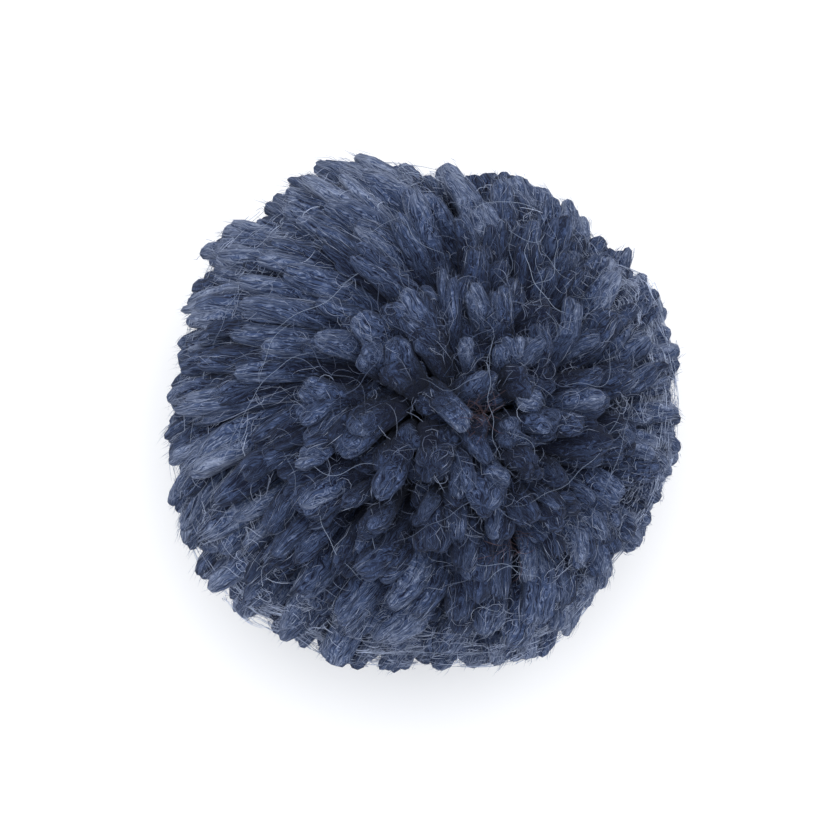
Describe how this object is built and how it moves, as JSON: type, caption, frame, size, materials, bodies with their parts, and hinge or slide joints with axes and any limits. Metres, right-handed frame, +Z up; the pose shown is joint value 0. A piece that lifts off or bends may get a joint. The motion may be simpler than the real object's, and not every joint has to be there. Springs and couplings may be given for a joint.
{
  "type": "yarn pom pom",
  "caption": "Fluffy round pom pom: cut yarn ends fan out from a pinched middle into a soft, slightly uneven ball with a small flat spot to rest on.",
  "frame": {"origin": "on the surface that the ball rests on, under the middle of its box", "axes": "+Z up from that surface, towards the side where the locks part; +X and +Y level"},
  "size_m": [0.1, 0.0996, 0.094],
  "materials": {
    "yarn": "soft brushed wool, dull"
  },
  "bodies": {
    "root": {"pom_pom": "yarn"}
  },
  "joints": []
}
